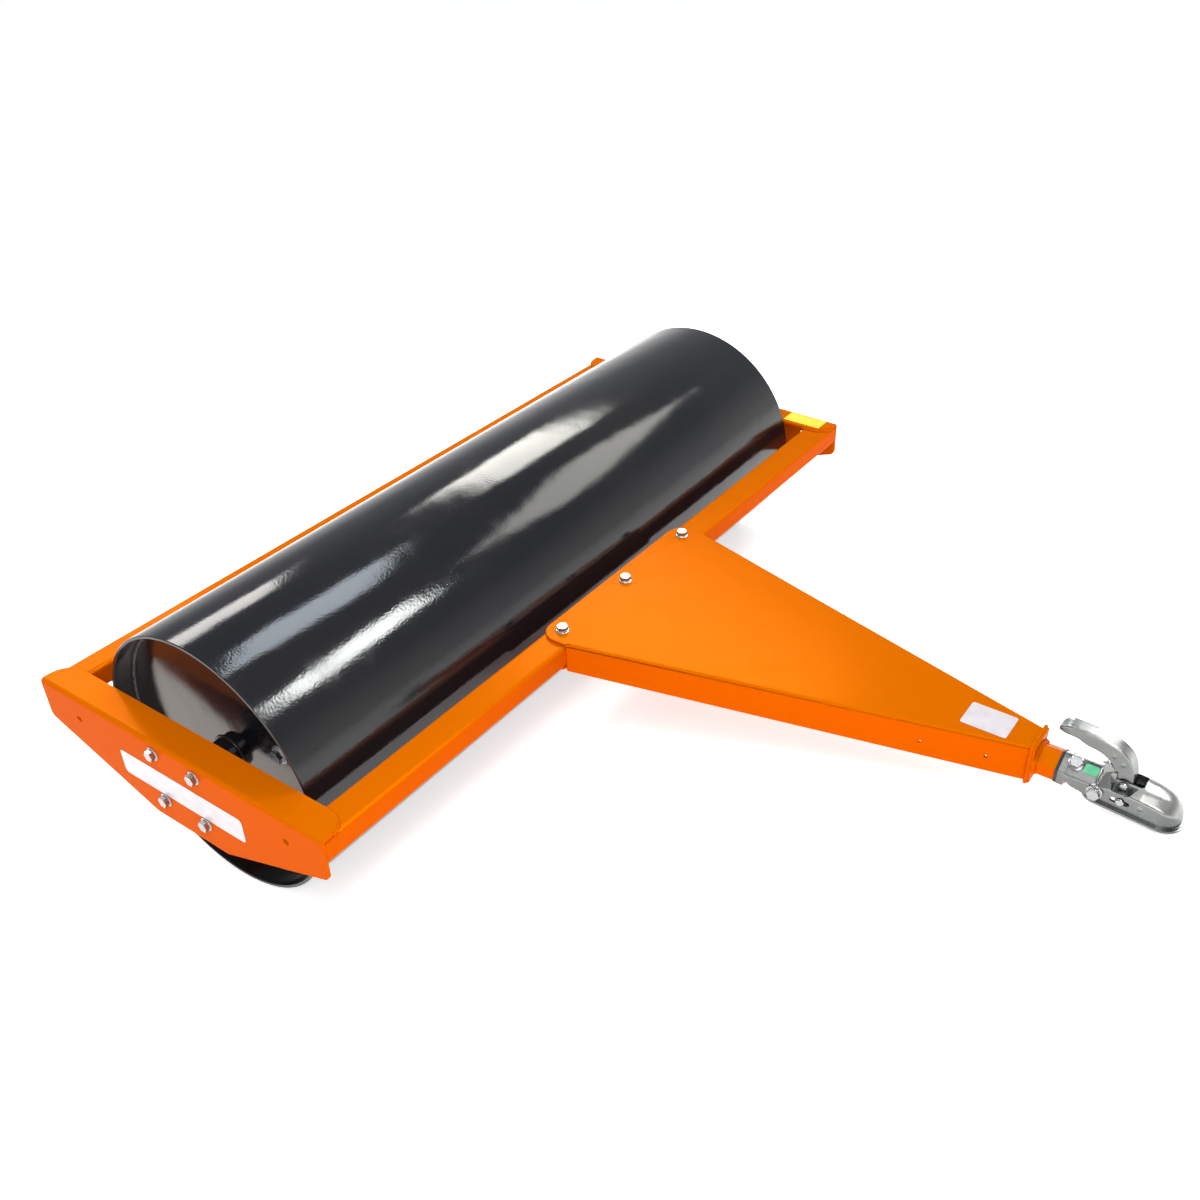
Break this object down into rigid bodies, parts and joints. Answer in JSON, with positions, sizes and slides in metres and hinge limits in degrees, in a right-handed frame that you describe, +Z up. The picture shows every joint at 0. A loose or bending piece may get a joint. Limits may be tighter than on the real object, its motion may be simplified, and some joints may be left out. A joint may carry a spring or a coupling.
{
  "type": "lawn roller",
  "caption": "Towed lawn roller: smooth steel drum in a welded frame with a tapered drawbar and a ball coupling with a locking lever.",
  "frame": {"origin": "on the ground, at the middle of the bounding box", "axes": "+X along the axle to the right side as seen from behind the hitch, +Y from the hitch to the rear, +Z up; the roller stands unhitched with the nose of its coupling on the ground"},
  "size_m": [1.6506, 1.6926, 0.4997],
  "materials": {
    "orange_powder_coat": "gloss orange powder coat with a slight orange peel",
    "gloss_black_paint": "gloss black paint",
    "bearing_housing_paint": "black painted casting",
    "bright_steel": "turned bright steel",
    "zinc_plate": "bright zinc plate",
    "galvanised_steel": "galvanised pressed steel",
    "black_rubber": "matt black rubber",
    "white_label": "plain white film",
    "yellow_label": "plain yellow film",
    "green_label": "plain green film"
  },
  "bodies": {
    "frame": {"bearing_bolt_left_1": "zinc_plate", "bearing_bolt_left_2": "zinc_plate", "bearing_bolt_left_3": "zinc_plate", "bearing_bolt_left_4": "zinc_plate", "bearing_bolt_right_1": "zinc_plate", "bearing_bolt_right_2": "zinc_plate", "bearing_bolt_right_3": "zinc_plate", "bearing_bolt_right_4": "zinc_plate", "bearing_housing_left": "bearing_housing_paint", "bearing_housing_right": "bearing_housing_paint", "bearing_nut_left_1": "zinc_plate", "bearing_nut_left_2": "zinc_plate", "bearing_nut_left_3": "zinc_plate", "bearing_nut_left_4": "zinc_plate", "bearing_nut_right_1": "zinc_plate", "bearing_nut_right_2": "zinc_plate", "bearing_nut_right_3": "zinc_plate", "bearing_nut_right_4": "zinc_plate", "bearing_race_left": "bright_steel", "bearing_race_right": "bright_steel", "coupling_body": "galvanised_steel", "coupling_bolt_1": "zinc_plate", "coupling_bolt_2": "zinc_plate", "coupling_label": "green_label", "coupling_nut_1": "zinc_plate", "coupling_nut_2": "zinc_plate", "drawbar_bolt_1": "zinc_plate", "drawbar_bolt_2": "zinc_plate", "drawbar_bolt_3": "zinc_plate", "drawbar_clamp_plate": "orange_powder_coat", "drawbar_end_plate": "orange_powder_coat", "drawbar_label": "white_label", "drawbar_nut_1": "zinc_plate", "drawbar_nut_2": "zinc_plate", "drawbar_nut_3": "zinc_plate", "drawbar_top": "orange_powder_coat", "drawbar_wall_left": "orange_powder_coat", "drawbar_wall_right": "orange_powder_coat", "frame_label": "yellow_label", "front_beam": "orange_powder_coat", "hitch_tube": "orange_powder_coat", "lever_pivot_pin": "zinc_plate", "rear_beam": "orange_powder_coat", "side_frame_left": "orange_powder_coat", "side_frame_right": "orange_powder_coat", "side_label": "white_label", "tube_collar": "black_rubber"},
    "drum": {"bearing_ring_left": "bright_steel", "bearing_ring_right": "bright_steel", "drum_shell": "gloss_black_paint", "end_plate_left": "gloss_black_paint", "end_plate_right": "gloss_black_paint", "filler_plug": "zinc_plate", "stub_axle_left": "gloss_black_paint", "stub_axle_right": "gloss_black_paint"},
    "lever": {"lever": "galvanised_steel"},
    "clamp": {"ball_clamp": "bright_steel", "clamp_pin": "zinc_plate"}
  },
  "joints": [
    {"name": "drum_spin", "type": "hinge", "parent": "frame", "child": "drum", "pos_m": [0, 0.50327, 0.24987], "axis": [1, 0, 0], "continuous": true},
    {"name": "lever_lift", "type": "hinge", "parent": "frame", "child": "lever", "pos_m": [0, -0.75895, 0.06596], "axis": [1, 0, 0], "range_deg": [0, 55]},
    {"name": "clamp_slide", "type": "slide", "parent": "frame", "child": "clamp", "axis": [0, 0.9819, 0.1895], "range_m": [0, 0.01]}
  ],
  "couplings": [
    {"joint": "clamp_slide", "follows": "lever_lift", "m_per_rad": 0.0103}
  ]
}
